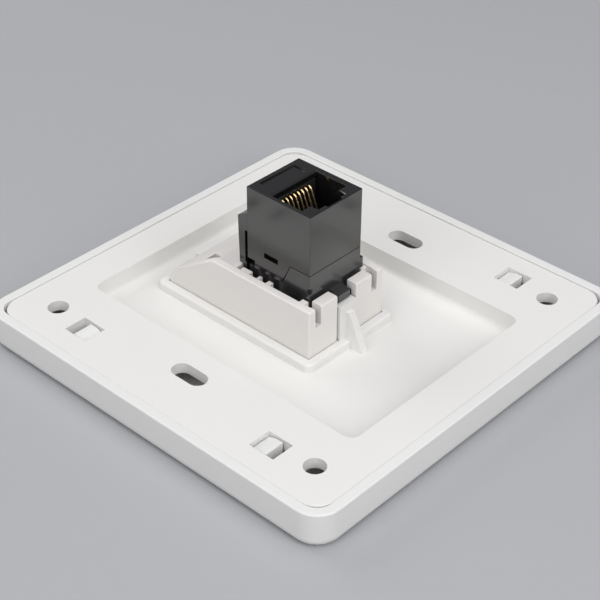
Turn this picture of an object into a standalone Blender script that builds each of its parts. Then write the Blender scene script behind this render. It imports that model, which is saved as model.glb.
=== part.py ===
"""Single-port wall plate, lying face down, with an inline coupler jack snapped into its carrier.

The front face of the plate is on z = 0 and +Z points out of the rear, towards the wall box.
X runs along the carrier's long side, which is upright on the wall, and Y runs level.
The origin is the centre of the front face. Lengths are in metres.
"""

import math

import bmesh
import bpy
from mathutils import Vector

MM = 0.001

# Fits
GAP = 0.3 * MM                   # clearance between pieces that seat on each other
SINK = 0.25 * MM                 # how deep a joined detail starts inside its carrier
OVERRUN = 2.0 * MM               # how far a cutter runs past the face that it opens
MERGE = 0.001 * MM               # distance under which points are one point

# Front cover
PLATE_SIDE = 86.0 * MM
PLATE_DEPTH = 7.4 * MM
COVER_WALL = 2.0 * MM
COVER_FRONT = 1.5 * MM
COVER_CORNER = 5.0 * MM          # outer corner radius
COVER_INNER_CORNER = 3.0 * MM
COVER_FRONT_ROUND = 1.8 * MM     # rounded edge round the front face
COVER_RIM_ROUND = 0.35 * MM      # small round on the rear rim
COVER_LEDGE = 1.3 * MM           # ledge inside the wall that the base plate seats on

# Base plate
BASE_RECESS = 0.4 * MM           # how far its rear face lies below the cover's rim
FLANGE_THICK = 1.8 * MM
BASE_CORNER = 6.5 * MM
BASE_EDGE_ROUND = 0.3 * MM
TUB_SIDE_INSET = 9.8 * MM        # from the plate's side to the sunk middle area, along X
TUB_EDGE_INSET = 19.15 * MM      # the same along Y
TUB_FLOOR_THICK = 1.5 * MM
TUB_WALL = 1.6 * MM
TUB_CORNER = 2.0 * MM
TUB_FILLET = 0.9 * MM
PLINTH_HEIGHT = 1.8 * MM
PLINTH_MARGIN = 1.5 * MM         # width of the raised band round the carrier
PLINTH_CORNER = 1.6 * MM
PLINTH_ROUND = 0.5 * MM
CORNER_HOLE = 4.1 * MM
CORNER_HOLE_INSET = 10.1 * MM    # from the plate's side, along X and along Y
SCREW_SPACING = 60.3 * MM
SLOT_WIDTH = 3.8 * MM
SLOT_LENGTH = 7.9 * MM

# Latch windows of the base plate and the cover's snap hooks in them
WINDOW_LENGTH = 5.6 * MM
WINDOW_WIDTH = 4.9 * MM
WINDOW_SIDE_INSET = 16.3 * MM    # from the plate's side to the window, along X
WINDOW_EDGE_INSET = 8.95 * MM    # from the plate's side to the window's middle, along Y
HOOK_SEAT_LENGTH = 1.8 * MM      # sunk shelf that the hook's nose holds
HOOK_SEAT_DEPTH = 1.4 * MM
HOOK_WALL = 1.5 * MM
HOOK_NOSE_HEIGHT = 1.0 * MM
HOOK_NOSE_TIP = 0.45 * MM        # height of the nose at its tip

# Module carrier
CARRIER_X_MIN = -26.45 * MM
CARRIER_X_MAX = 10.7 * MM
CARRIER_WIDTH = 20.6 * MM
CARRIER_RISE = 10.2 * MM         # height of its walls above the plinth
CARRIER_WALL = 1.65 * MM
CARRIER_END_WALL = 1.3 * MM
CARRIER_FRONT = 1.2 * MM
CARRIER_ROOF = 1.2 * MM
CARRIER_EDGE_ROUND = 0.4 * MM
SLOPE_LOW_SHARE = 0.09           # height of the sloping top at the low end, of the rise
SLOPE_BREAK_SHARE = 0.38         # the same where the steep part ends
SLOPE_KNEE_SHARE = 0.70          # the same where the roof turns level
SLOPE_BREAK_RUN = 2.05 * MM      # from the low end, along X
SLOPE_KNEE_RUN = 7.0 * MM
WALL_SHOULDER_RUN = 12.1 * MM    # where the side walls reach full height
ROOF_LEDGE = 2.65 * MM           # level ledge past the knee, sunk between the side walls
ROOF_LEVEL = 1.0 * MM            # level strip along the roof's free edge
ROOF_DROP = 0.1 * MM             # from the wall top down to that strip
ROOF_CLEARANCE = 1.5 * MM        # from the roof's free edge to the jack's body
ROOF_HOLE_LENGTH = 1.4 * MM
ROOF_HOLE_WIDTH = 3.0 * MM
ROOF_HOLE_REACH = 6.3 * MM       # centre of each core hole, along Y
RAIL_THICK = 1.2 * MM            # rails that carry the jack and guide the shutter
RAIL_REACH = 6.3 * MM            # free half width between the rails
GUIDE_DROP = 0.3 * MM            # how far the guide ribs end below the wall top
GUIDE_RIBS = (                   # place and length of each rib, from the wall at +X
    (1.6 * MM, 1.4 * MM),
    (10.4 * MM, 1.15 * MM),
    (13.2 * MM, 0.7 * MM),
    (15.75 * MM, 2.4 * MM),
)

# Snap fingers and the notch between them, in the carrier's wall at +X
TONGUE_HALF = 2.3 * MM           # half width of the base plate's tongue
TONGUE_RISE = 7.5 * MM           # above the plinth
REAR_TONGUE_HALF = 3.1 * MM      # the plain tongue at the low end
REAR_TONGUE_THICK = 1.4 * MM
REAR_TONGUE_RISE = 2.9 * MM
REAR_TONGUE_ROOT = 1.2 * MM      # height over which its root thins out
REAR_TONGUE_CLEARANCE = 0.6 * MM # open groove between it and the spring's seat
GUSSET_THICK = 1.5 * MM
GUSSET_RISE = 5.9 * MM
GUSSET_TOP = 1.1 * MM
GUSSET_FOOT = 4.4 * MM
FINGER_OUTER = 7.0 * MM          # from the middle to each finger's outer side
FINGER_SLIT = 1.5 * MM
FINGER_SLIT_DEPTH = 4.2 * MM
FINGER_HEAD_HEIGHT = 1.7 * MM
FINGER_HEAD_LENGTH = 1.05 * MM

# Dust shutter and its spring
SHUTTER_THICK = 1.4 * MM
SHUTTER_X_MAX = 8.5 * MM
SHUTTER_LENGTH = 17.8 * MM
SHUTTER_GRIP = 1.0 * MM
SHUTTER_GRIP_RISE = 0.9 * MM
SHUTTER_GRIP_HALF = 5.0 * MM
SHUTTER_GRIP_INSET = 0.9 * MM
SHUTTER_LUG = 1.0 * MM
SHUTTER_LUG_HALF = 2.4 * MM
SHUTTER_LUG_RISE = 4.4 * MM
SHUTTER_PEG = 0.9 * MM           # radius of the peg that holds the spring
SHUTTER_PEG_LENGTH = 1.1 * MM
FRONT_OPENING_X_MIN = -7.2 * MM
FRONT_OPENING_X_MAX = 9.0 * MM
FRONT_OPENING_HALF = 7.7 * MM
SPRING_RADIUS = 1.5 * MM         # to the middle of the wire
SPRING_WIRE = 0.14 * MM          # radius of the wire
SPRING_TURNS = 5.0
SPRING_LIFT = 2.3 * MM           # axis above the shutter
SPRING_SEAT = 2.6 * MM           # from the carrier's low end to the spring's seat

# Coupler jack
JACK_X_MIN = -8.0 * MM
JACK_X_MAX = 7.73 * MM
JACK_WIDTH = 13.95 * MM
JACK_LENGTH = 28.16 * MM
JACK_WALL = 1.0 * MM
JACK_FACE = 1.2 * MM             # thickness of the wall round each port
JACK_EDGE_ROUND = 0.12 * MM
SEAM_DROP = 12.44 * MM           # from the rear face to the seam between the housings
SKIRT_DROP = 17.0 * MM           # from the rear face to the skirt's lower edge
SKIRT_X_TOP = 2.9 * MM
SKIRT_X_LOW = 0.7 * MM
PORT_X_MIN = -2.6 * MM
PORT_X_MAX = 4.7 * MM
PORT_HALF = 5.9 * MM
PORT_CHAMFER = 0.35 * MM
PORT_NOTCH_HALF = 3.6 * MM       # first step of the plug clip's notch
PORT_NOTCH_DEPTH = 1.75 * MM
CLIP_NOTCH_HALF = 2.05 * MM      # second step, which leaves a thin wall
CLIP_NOTCH_WALL = 0.3 * MM
PANEL_X_MIN = -7.05 * MM         # sunk bare field on the rear face
PANEL_X_MAX = -3.75 * MM
PANEL_HALF = 4.6 * MM
PANEL_DEPTH = 0.3 * MM
CATCH_WINDOW_X = -1.95 * MM
CATCH_WINDOW_LENGTH = 3.5 * MM
CATCH_WINDOW_HEIGHT = 1.1 * MM
CATCH_WINDOW_DROP = 13.05 * MM   # from the rear face to its middle
SKIRT_NOTCH_LENGTH = 1.9 * MM    # cut-out in the skirt's corner beside the latch arm
SKIRT_NOTCH_HEIGHT = 1.6 * MM
ARM_TOP_DROP = 7.15 * MM         # from the rear face to the latch arm's top
ARM_SHOULDER = 1.6 * MM          # how far its top slopes up to the body
ARM_ROOT_HEIGHT = 2.6 * MM
ARM_OUT_TOP = 2.43 * MM          # how far the arm stands off the body
ARM_OUT_LOW = 2.1 * MM
ARM_SLOT = 0.65 * MM
ARM_PAD_HEIGHT = 3.6 * MM        # thicker lower end of the arm
ARM_FOOT = 0.65 * MM             # how far its foot reaches under the roof's free edge
ARM_FOOT_HEIGHT = 1.1 * MM
ARM_WIDTH = 13.85 * MM
LUG_HALF = 1.6 * MM
LUG_OUT = 2.3 * MM
LUG_HEIGHT = 1.5 * MM            # at its tip
LUG_ROOT_HEIGHT = 2.2 * MM
SIDE_RIB_OUT = 0.75 * MM
SIDE_RIB_HEIGHT = 2.3 * MM
SIDE_RIB_LENGTH = 6.0 * MM
SIDE_RIB_DROP = 16.3 * MM
POCKET_DEPTH = 0.5 * MM          # shallow pocket in each side of the front housing
POCKET_X_MAX = 5.75 * MM
POCKET_FOOT = 3.8 * MM           # from the front face to the pocket
POCKET_DROP = 16.96 * MM         # from the rear face to the pocket
CORNER_NOTCH = 0.8 * MM          # small notch in one corner post of the front housing
CORNER_NOTCH_HEIGHT = 1.2 * MM
CORNER_NOTCH_DROP = 15.96 * MM   # from the rear face to its middle

# Contact inserts, board and contacts inside the jack
INSERT_FACE_GAP = 0.35 * MM
INSERT_FLOOR = 1.4 * MM
BOARD_THICK = 1.0 * MM
CONTACT_COUNT = 8
CONTACT_PITCH = 1.02 * MM
CONTACT_WIRE = 0.22 * MM         # radius
CONTACT_SLOT = 0.70 * MM
CONTACT_BACK = 2.6 * MM          # from the port's edge back to the upright run
CONTACT_TOP_DROP = 2.2 * MM      # from the port face down to the level run
CONTACT_BEND = 0.75 * MM
CONTACT_TURN = 0.15 * MM         # from the port's edge to where the wire turns down
CONTACT_SLOPE = 67.0             # degrees that it turns through
CONTACT_TIP_DROP = 8.6 * MM

CORNER_STEPS = 6                 # flat pieces in each rounded corner
ROUND_STEPS = 3                  # flat pieces across each rounded edge
BEND_STEPS = 3                   # straight pieces in each bend of a contact
HOLE_SIDES = 32
PEG_SIDES = 16
COIL_STEPS = 12                  # straight pieces in each turn of the spring

# Levels and places worked out from the sizes above
HALF_SIDE = PLATE_SIDE / 2
TUB_X = HALF_SIDE - TUB_SIDE_INSET
TUB_Y = HALF_SIDE - TUB_EDGE_INSET
CORNER_HOLE_REACH = HALF_SIDE - CORNER_HOLE_INSET
WINDOW_INNER = HALF_SIDE - WINDOW_SIDE_INSET - WINDOW_LENGTH
WINDOW_REACH = HALF_SIDE - WINDOW_EDGE_INSET
BASE_REAR = PLATE_DEPTH - BASE_RECESS
FLANGE_UNDER = BASE_REAR - FLANGE_THICK
TUB_UNDER = COVER_FRONT + GAP
TUB_FLOOR = TUB_UNDER + TUB_FLOOR_THICK
PLINTH_TOP = TUB_FLOOR + PLINTH_HEIGHT
CARRIER_TOP = PLINTH_TOP + CARRIER_RISE
CARRIER_HALF = CARRIER_WIDTH / 2
CARRIER_INNER_HALF = CARRIER_HALF - CARRIER_WALL
CARRIER_INNER_MAX = CARRIER_X_MAX - CARRIER_END_WALL
CARRIER_INNER_MIN = CARRIER_X_MIN + CARRIER_WALL
ROOF_TOP = CARRIER_TOP - ROOF_DROP
ROOF_END = JACK_X_MIN - ROOF_CLEARANCE
LEDGE_END = CARRIER_X_MIN + SLOPE_KNEE_RUN + ROOF_LEDGE
SLOPE_BREAKS = (                 # run from the low end and share of the rise
    (0.0, SLOPE_LOW_SHARE),
    (SLOPE_BREAK_RUN, SLOPE_BREAK_SHARE),
    (SLOPE_KNEE_RUN, SLOPE_KNEE_SHARE),
    (WALL_SHOULDER_RUN, 1.0),
)
SHUTTER_FRONT = CARRIER_FRONT + GAP
SHUTTER_REAR = SHUTTER_FRONT + SHUTTER_THICK
SHUTTER_X_MIN = SHUTTER_X_MAX - SHUTTER_LENGTH
RAIL_FRONT = SHUTTER_REAR + GAP
RAIL_REAR = RAIL_FRONT + RAIL_THICK
JACK_FRONT = RAIL_REAR + GAP
JACK_REAR = JACK_FRONT + JACK_LENGTH
JACK_HALF = JACK_WIDTH / 2
JACK_MIDDLE = (JACK_FRONT + JACK_REAR) / 2
SPRING_SEAT_X = CARRIER_X_MIN + SPRING_SEAT
SPRING_AXIS = SHUTTER_REAR + SPRING_LIFT


def clear_scene():
    for item in list(bpy.data.objects):
        bpy.data.objects.remove(item, do_unlink=True)


def new_collection(name):
    collection = bpy.data.collections.new(name)
    bpy.context.scene.collection.children.link(collection)
    return collection


def make_material(name, color, roughness, metallic=0.0):
    material = bpy.data.materials.new(name)
    material.use_nodes = True
    shader = material.node_tree.nodes["Principled BSDF"]
    shader.inputs["Base Color"].default_value = (*color, 1.0)
    shader.inputs["Roughness"].default_value = roughness
    shader.inputs["Metallic"].default_value = metallic
    material.diffuse_color = (*color, 1.0)
    return material


clear_scene()
PARTS = new_collection("wall_plate")
CUTTERS = new_collection("cutters")

WHITE = make_material("white_plastic", (0.80, 0.80, 0.79), 0.35)
BLACK = make_material("black_plastic", (0.012, 0.012, 0.014), 0.18)
INSERT = make_material("dark_insert", (0.02, 0.02, 0.022), 0.45)
BOARD = make_material("circuit_board", (0.015, 0.018, 0.016), 0.4)
GOLD = make_material("gold_contact", (0.83, 0.60, 0.22), 0.22, 1.0)
STEEL = make_material("spring_steel", (0.62, 0.62, 0.63), 0.3, 1.0)


def link_mesh(name, mesh, collection, material=None):
    item = bpy.data.objects.new(name, mesh)
    collection.objects.link(item)
    if material is not None:
        mesh.materials.append(material)
    if collection == CUTTERS:
        item.hide_render = True
        item.display_type = 'WIRE'
    return item


def clean_mesh(mesh):
    """Welds the caps, merges flat faces and points every face outwards."""
    work = bmesh.new()
    work.from_mesh(mesh)
    bmesh.ops.remove_doubles(work, verts=work.verts, dist=MERGE)
    bmesh.ops.dissolve_limit(work, angle_limit=math.radians(0.5), verts=work.verts, edges=work.edges)
    bmesh.ops.recalc_face_normals(work, faces=work.faces)
    work.to_mesh(mesh)
    work.free()


def curve_to_mesh(curve, name, collection, material=None):
    """Turns a curve object into a mesh object that keeps its place."""
    bpy.context.view_layer.update()
    graph = bpy.context.evaluated_depsgraph_get()
    mesh = bpy.data.meshes.new_from_object(curve.evaluated_get(graph))
    mesh.transform(curve.matrix_world)
    mesh.name = name
    mesh.materials.clear()
    clean_mesh(mesh)
    data = curve.data
    bpy.data.objects.remove(curve, do_unlink=True)
    bpy.data.curves.remove(data)
    return link_mesh(name, mesh, collection, material)


def outline_solid(name, outline, low, high, collection, material=None, axis='Z'):
    """Extrudes a flat outline from low to high along Z, or along Y with the outline in X and Z."""
    data = bpy.data.curves.new(name + "_outline", 'CURVE')
    data.dimensions = '2D'
    data.fill_mode = 'BOTH'
    data.extrude = (high - low) / 2
    spline = data.splines.new('POLY')
    spline.points.add(len(outline) - 1)
    for point, (across, up) in zip(spline.points, outline):
        point.co = (across, up, 0.0, 1.0)
    spline.use_cyclic_u = True
    curve = bpy.data.objects.new(name + "_outline", data)
    bpy.context.scene.collection.objects.link(curve)
    middle = (low + high) / 2
    if axis == 'Z':
        curve.location = (0.0, 0.0, middle)
    else:
        curve.rotation_euler = (math.radians(90.0), 0.0, 0.0)
        curve.location = (0.0, middle, 0.0)
    return curve_to_mesh(curve, name, collection, material)


def block(name, low, high, collection, material=None):
    """A box between two corners."""
    work = bmesh.new()
    bmesh.ops.create_cube(work, size=1.0)
    size = Vector(high) - Vector(low)
    bmesh.ops.scale(work, vec=size, verts=work.verts)
    bmesh.ops.translate(work, vec=(Vector(low) + Vector(high)) / 2, verts=work.verts)
    mesh = bpy.data.meshes.new(name)
    work.to_mesh(mesh)
    work.free()
    return link_mesh(name, mesh, collection, material)


def cylinder(name, centre, radius, length, collection, axis='Z', material=None, sides=HOLE_SIDES):
    work = bmesh.new()
    bmesh.ops.create_cone(work, cap_ends=True, segments=sides, radius1=radius, radius2=radius, depth=length)
    if axis == 'X':
        turn = Vector((0.0, 0.0, 1.0)).rotation_difference(Vector((1.0, 0.0, 0.0))).to_matrix()
        bmesh.ops.rotate(work, cent=(0.0, 0.0, 0.0), matrix=turn, verts=work.verts)
    bmesh.ops.translate(work, vec=centre, verts=work.verts)
    mesh = bpy.data.meshes.new(name)
    work.to_mesh(mesh)
    work.free()
    return link_mesh(name, mesh, collection, material)


def rounded_rectangle(x_min, x_max, y_min, y_max, radius):
    """Corner points of a rectangle whose corners are arcs."""
    points = []
    centres = (
        (x_max - radius, y_max - radius, 0.0),
        (x_min + radius, y_max - radius, 90.0),
        (x_min + radius, y_min + radius, 180.0),
        (x_max - radius, y_min + radius, 270.0),
    )
    for centre_x, centre_y, start in centres:
        for step in range(CORNER_STEPS + 1):
            angle = math.radians(start + 90.0 * step / CORNER_STEPS)
            points.append((centre_x + radius * math.cos(angle), centre_y + radius * math.sin(angle)))
    return points


def round_rims(item, bottom, top, steps=ROUND_STEPS):
    """Rounds the edges round the lowest and the highest face of an upright solid."""
    mesh = item.data
    heights = [vertex.co.z for vertex in mesh.vertices]
    lowest = min(heights)
    highest = max(heights)
    widest = max(bottom, top)
    weights = mesh.attributes.new("bevel_weight_edge", 'FLOAT', 'EDGE')
    for edge in mesh.edges:
        ends = [mesh.vertices[index].co.z for index in edge.vertices]
        if max(ends) - lowest < MERGE:
            weights.data[edge.index].value = bottom / widest
        elif highest - min(ends) < MERGE:
            weights.data[edge.index].value = top / widest
    bevel = item.modifiers.new("rounded_rims", 'BEVEL')
    bevel.limit_method = 'WEIGHT'
    bevel.width = widest
    bevel.segments = steps
    return bevel


def round_edges(item, width, steps=2, angle=50.0):
    bevel = item.modifiers.new("rounded_edges", 'BEVEL')
    bevel.limit_method = 'ANGLE'
    bevel.angle_limit = math.radians(angle)
    bevel.width = width
    bevel.segments = steps
    return bevel


def round_edges_above(item, width, level, steps=2):
    """Rounds every edge that reaches higher than a level and leaves the mating edges below it sharp."""
    mesh = item.data
    weights = mesh.attributes.new("bevel_weight_edge", 'FLOAT', 'EDGE')
    for edge in mesh.edges:
        ends = [mesh.vertices[index].co.z for index in edge.vertices]
        if max(ends) > level + MERGE:
            weights.data[edge.index].value = 1.0
    bevel = item.modifiers.new("rounded_edges", 'BEVEL')
    bevel.limit_method = 'WEIGHT'
    bevel.width = width
    bevel.segments = steps
    return bevel


def combine(item, tool, operation):
    modifier = item.modifiers.new(operation.lower() + "_" + tool.name, 'BOOLEAN')
    modifier.operation = operation
    modifier.solver = 'EXACT'
    modifier.object = tool
    return modifier


def cut(item, tool):
    return combine(item, tool, 'DIFFERENCE')


def join(item, tool):
    return combine(item, tool, 'UNION')


def shade(item):
    item.data.shade_smooth()
    item.data.set_sharp_from_angle(angle=math.radians(35.0))


def mirrored(low, high, sign):
    """The same span on the side of Y that sign names."""
    return (low, high) if sign > 0 else (-high, -low)


def slope_height(run):
    """Height of the carrier's sloping top at a distance from its low end."""
    for (near, near_share), (far, far_share) in zip(SLOPE_BREAKS, SLOPE_BREAKS[1:]):
        if run <= far:
            share = near_share + (far_share - near_share) * (run - near) / (far - near)
            return PLINTH_TOP + share * CARRIER_RISE
    return CARRIER_TOP


def build_cover():
    corner_box = (-HALF_SIDE, HALF_SIDE, -HALF_SIDE, HALF_SIDE)
    outline = rounded_rectangle(*corner_box, COVER_CORNER)
    cover = outline_solid("cover_frame", outline, 0.0, PLATE_DEPTH, PARTS, WHITE)
    round_rims(cover, COVER_FRONT_ROUND, COVER_RIM_ROUND, steps=4)

    inner = HALF_SIDE - COVER_WALL
    ledge_top = FLANGE_UNDER - GAP
    hollow = outline_solid(
        "cover_hollow", rounded_rectangle(-inner, inner, -inner, inner, COVER_INNER_CORNER),
        ledge_top, PLATE_DEPTH + OVERRUN, CUTTERS)
    cut(cover, hollow)
    low = inner - COVER_LEDGE
    lower_hollow = outline_solid(
        "cover_lower_hollow", rounded_rectangle(-low, low, -low, low, COVER_INNER_CORNER),
        COVER_FRONT, ledge_top + OVERRUN, CUTTERS)
    cut(cover, lower_hollow)

    aperture = block(
        "cover_aperture",
        (CARRIER_X_MIN - GAP, -CARRIER_HALF - GAP, -OVERRUN),
        (CARRIER_X_MAX + GAP, CARRIER_HALF + GAP, COVER_FRONT + OVERRUN), CUTTERS)
    cut(cover, aperture)

    for side_x in (-1, 1):
        for side_y in (-1, 1):
            join(cover, build_hook(side_x, side_y))
    return cover


def build_hook(side_x, side_y):
    """One snap hook of the cover: a post whose nose reaches over the seat in the base plate."""
    seat = BASE_REAR - HOOK_SEAT_DEPTH
    nose_low = seat + GAP
    post_inner = WINDOW_INNER + HOOK_SEAT_LENGTH + GAP
    post_outer = post_inner + HOOK_WALL
    tip = WINDOW_INNER + GAP
    foot = COVER_FRONT - SINK
    outline = [
        (post_outer, foot),
        (post_outer, nose_low + HOOK_NOSE_HEIGHT),
        (post_inner, nose_low + HOOK_NOSE_HEIGHT),
        (tip, nose_low + HOOK_NOSE_TIP),
        (tip, nose_low),
        (post_inner, nose_low),
        (post_inner, foot),
    ]
    outline = [(side_x * across, up) for across, up in outline]
    half = WINDOW_WIDTH / 2 - GAP
    span = (WINDOW_REACH - half, WINDOW_REACH + half)
    low, high = mirrored(*span, side_y)
    name = "hook_{}_{}".format("right" if side_x > 0 else "left", "far" if side_y > 0 else "near")
    return outline_solid(name, outline, low, high, CUTTERS, axis='Y')


def build_base_plate():
    half = HALF_SIDE - COVER_WALL - GAP
    outline = rounded_rectangle(-half, half, -half, half, BASE_CORNER)
    base = outline_solid("base_plate", outline, FLANGE_UNDER, BASE_REAR, PARTS, WHITE)
    round_rims(base, BASE_EDGE_ROUND, BASE_EDGE_ROUND, steps=2)

    shell_x = TUB_X + TUB_WALL
    shell_y = TUB_Y + TUB_WALL
    shell = outline_solid(
        "tub_shell", rounded_rectangle(-shell_x, shell_x, -shell_y, shell_y, TUB_CORNER + TUB_WALL),
        TUB_UNDER, FLANGE_UNDER + SINK, CUTTERS)
    join(base, shell)
    hollow = outline_solid(
        "tub_hollow", rounded_rectangle(-TUB_X, TUB_X, -TUB_Y, TUB_Y, TUB_CORNER),
        TUB_FLOOR, BASE_REAR + OVERRUN, CUTTERS)
    round_rims(hollow, TUB_FILLET, 0.0)
    cut(base, hollow)

    seat_x_min = CARRIER_X_MIN - GAP
    seat_x_max = CARRIER_X_MAX + GAP
    seat_y = CARRIER_HALF + GAP
    plinth = outline_solid(
        "plinth", rounded_rectangle(
            seat_x_min - PLINTH_MARGIN, seat_x_max + PLINTH_MARGIN,
            -seat_y - PLINTH_MARGIN, seat_y + PLINTH_MARGIN, PLINTH_CORNER),
        TUB_FLOOR - SINK, PLINTH_TOP, CUTTERS)
    round_rims(plinth, 0.0, PLINTH_ROUND)
    join(base, plinth)
    join(base, build_gusset())
    opening = block(
        "carrier_opening", (seat_x_min, -seat_y, -OVERRUN), (seat_x_max, seat_y, BASE_REAR + CARRIER_RISE),
        CUTTERS)
    cut(base, opening)
    join(base, build_tongue())
    join(base, build_rear_tongue())

    for side_x in (-1, 1):
        for side_y in (-1, 1):
            build_base_corner(base, side_x, side_y)
    for side_y in (-1, 1):
        cut(base, build_slot(side_y))
    return base


def build_gusset():
    """Tapered rib that stands on the tub floor and braces the tongue."""
    root = CARRIER_X_MAX + GAP
    outline = [
        (root - OVERRUN, TUB_FLOOR - SINK),
        (root + GUSSET_FOOT, TUB_FLOOR - SINK),
        (root + GUSSET_FOOT, TUB_FLOOR + SINK),
        (root + GUSSET_TOP, PLINTH_TOP + GUSSET_RISE),
        (root - OVERRUN, PLINTH_TOP + GUSSET_RISE),
    ]
    half = GUSSET_THICK / 2
    return outline_solid("gusset", outline, -half, half, CUTTERS, axis='Y')


def build_tongue():
    """Tongue of the base plate between the carrier's fingers: the jack's lug rests on its top."""
    root = CARRIER_X_MAX + GAP
    outer = root + SINK
    inner = CARRIER_INNER_MAX
    under = PLINTH_TOP + GAP
    outline = [
        (root, TUB_UNDER),
        (outer, TUB_UNDER),
        (outer, PLINTH_TOP + TONGUE_RISE),
        (inner, PLINTH_TOP + TONGUE_RISE),
        (inner, under),
        (root, under),
    ]
    return outline_solid("tongue", outline, -TONGUE_HALF, TONGUE_HALF, CUTTERS, axis='Y')


def build_rear_tongue():
    """Plain tongue of the base plate at the carrier's low end."""
    root = CARRIER_X_MIN - GAP
    outer = root - SINK
    inner = CARRIER_X_MIN + REAR_TONGUE_THICK
    under = PLINTH_TOP + GAP
    outline = [
        (root, TUB_UNDER),
        (outer, TUB_UNDER),
        (outer, PLINTH_TOP),
        (CARRIER_X_MIN, PLINTH_TOP + REAR_TONGUE_ROOT),
        (CARRIER_X_MIN, PLINTH_TOP + REAR_TONGUE_RISE),
        (inner, PLINTH_TOP + REAR_TONGUE_RISE),
        (inner, under),
        (root, under),
    ]
    return outline_solid("rear_tongue", outline, -REAR_TONGUE_HALF, REAR_TONGUE_HALF, CUTTERS, axis='Y')


def build_base_corner(base, side_x, side_y):
    """Round hole, latch window and hook seat in one corner of the base plate."""
    tag = "{}_{}".format("right" if side_x > 0 else "left", "far" if side_y > 0 else "near")
    depth = FLANGE_THICK + 2 * OVERRUN
    centre = (side_x * CORNER_HOLE_REACH, side_y * CORNER_HOLE_REACH, BASE_REAR - FLANGE_THICK / 2)
    cut(base, cylinder("corner_hole_" + tag, centre, CORNER_HOLE / 2, depth, CUTTERS))

    low_y, high_y = mirrored(WINDOW_REACH - WINDOW_WIDTH / 2, WINDOW_REACH + WINDOW_WIDTH / 2, side_y)
    seat_x = mirrored(WINDOW_INNER, WINDOW_INNER + WINDOW_LENGTH, side_x)
    cut(base, block(
        "hook_seat_" + tag, (seat_x[0], low_y, BASE_REAR - HOOK_SEAT_DEPTH),
        (seat_x[1], high_y, BASE_REAR + OVERRUN), CUTTERS))
    window_x = mirrored(WINDOW_INNER + HOOK_SEAT_LENGTH, WINDOW_INNER + WINDOW_LENGTH, side_x)
    cut(base, block(
        "latch_window_" + tag, (window_x[0], low_y, FLANGE_UNDER - OVERRUN),
        (window_x[1], high_y, BASE_REAR - HOOK_SEAT_DEPTH + OVERRUN), CUTTERS))


def build_slot(side_y):
    """Oblong screw slot: two round ends and straight sides."""
    radius = SLOT_WIDTH / 2
    reach = (SLOT_LENGTH - SLOT_WIDTH) / 2
    centre_y = side_y * SCREW_SPACING / 2
    points = []
    steps = HOLE_SIDES // 2
    for end, start in ((1, -90.0), (-1, 90.0)):
        for step in range(steps + 1):
            angle = math.radians(start + 180.0 * step / steps)
            points.append((end * reach + radius * math.cos(angle), centre_y + radius * math.sin(angle)))
    name = "screw_slot_far" if side_y > 0 else "screw_slot_near"
    return outline_solid(name, points, FLANGE_UNDER - OVERRUN, BASE_REAR + OVERRUN, CUTTERS)


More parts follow.
